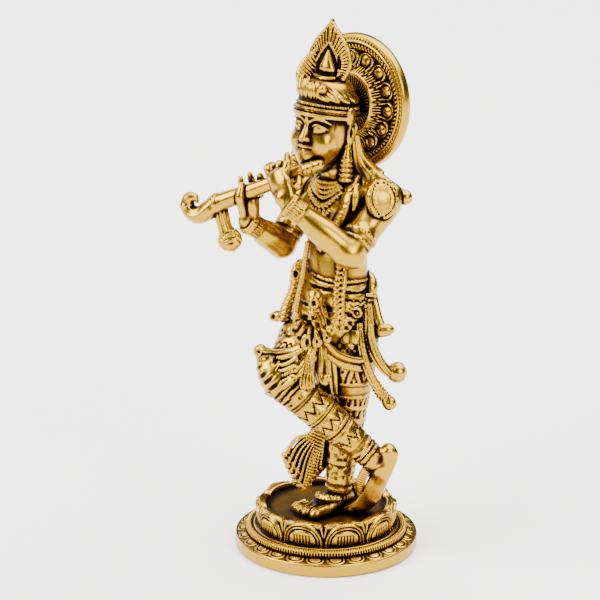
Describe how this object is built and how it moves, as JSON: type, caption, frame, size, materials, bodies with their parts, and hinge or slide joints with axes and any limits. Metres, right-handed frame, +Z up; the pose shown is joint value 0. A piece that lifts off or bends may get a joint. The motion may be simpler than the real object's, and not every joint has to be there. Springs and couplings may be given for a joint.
{
  "type": "krishna figure",
  "caption": "Standing cast brass figure playing a side-blown flute with legs crossed at the shin, a round halo behind the head, on a round lotus plinth.",
  "frame": {"origin": "middle of the plinth's round underside, on the surface that it stands on", "axes": "+Z up; the figure and the halo's face look along -Y; the flute points to -X"},
  "size_m": [0.1144, 0.1092, 0.3005],
  "materials": {
    "antique_brass": "cast, chased and rubbed bright on the high places, with a brown-black patina in the hollows"
  },
  "bodies": {
    "root": {"plinth": "antique_brass", "figure": "antique_brass", "halo": "antique_brass"}
  },
  "joints": []
}
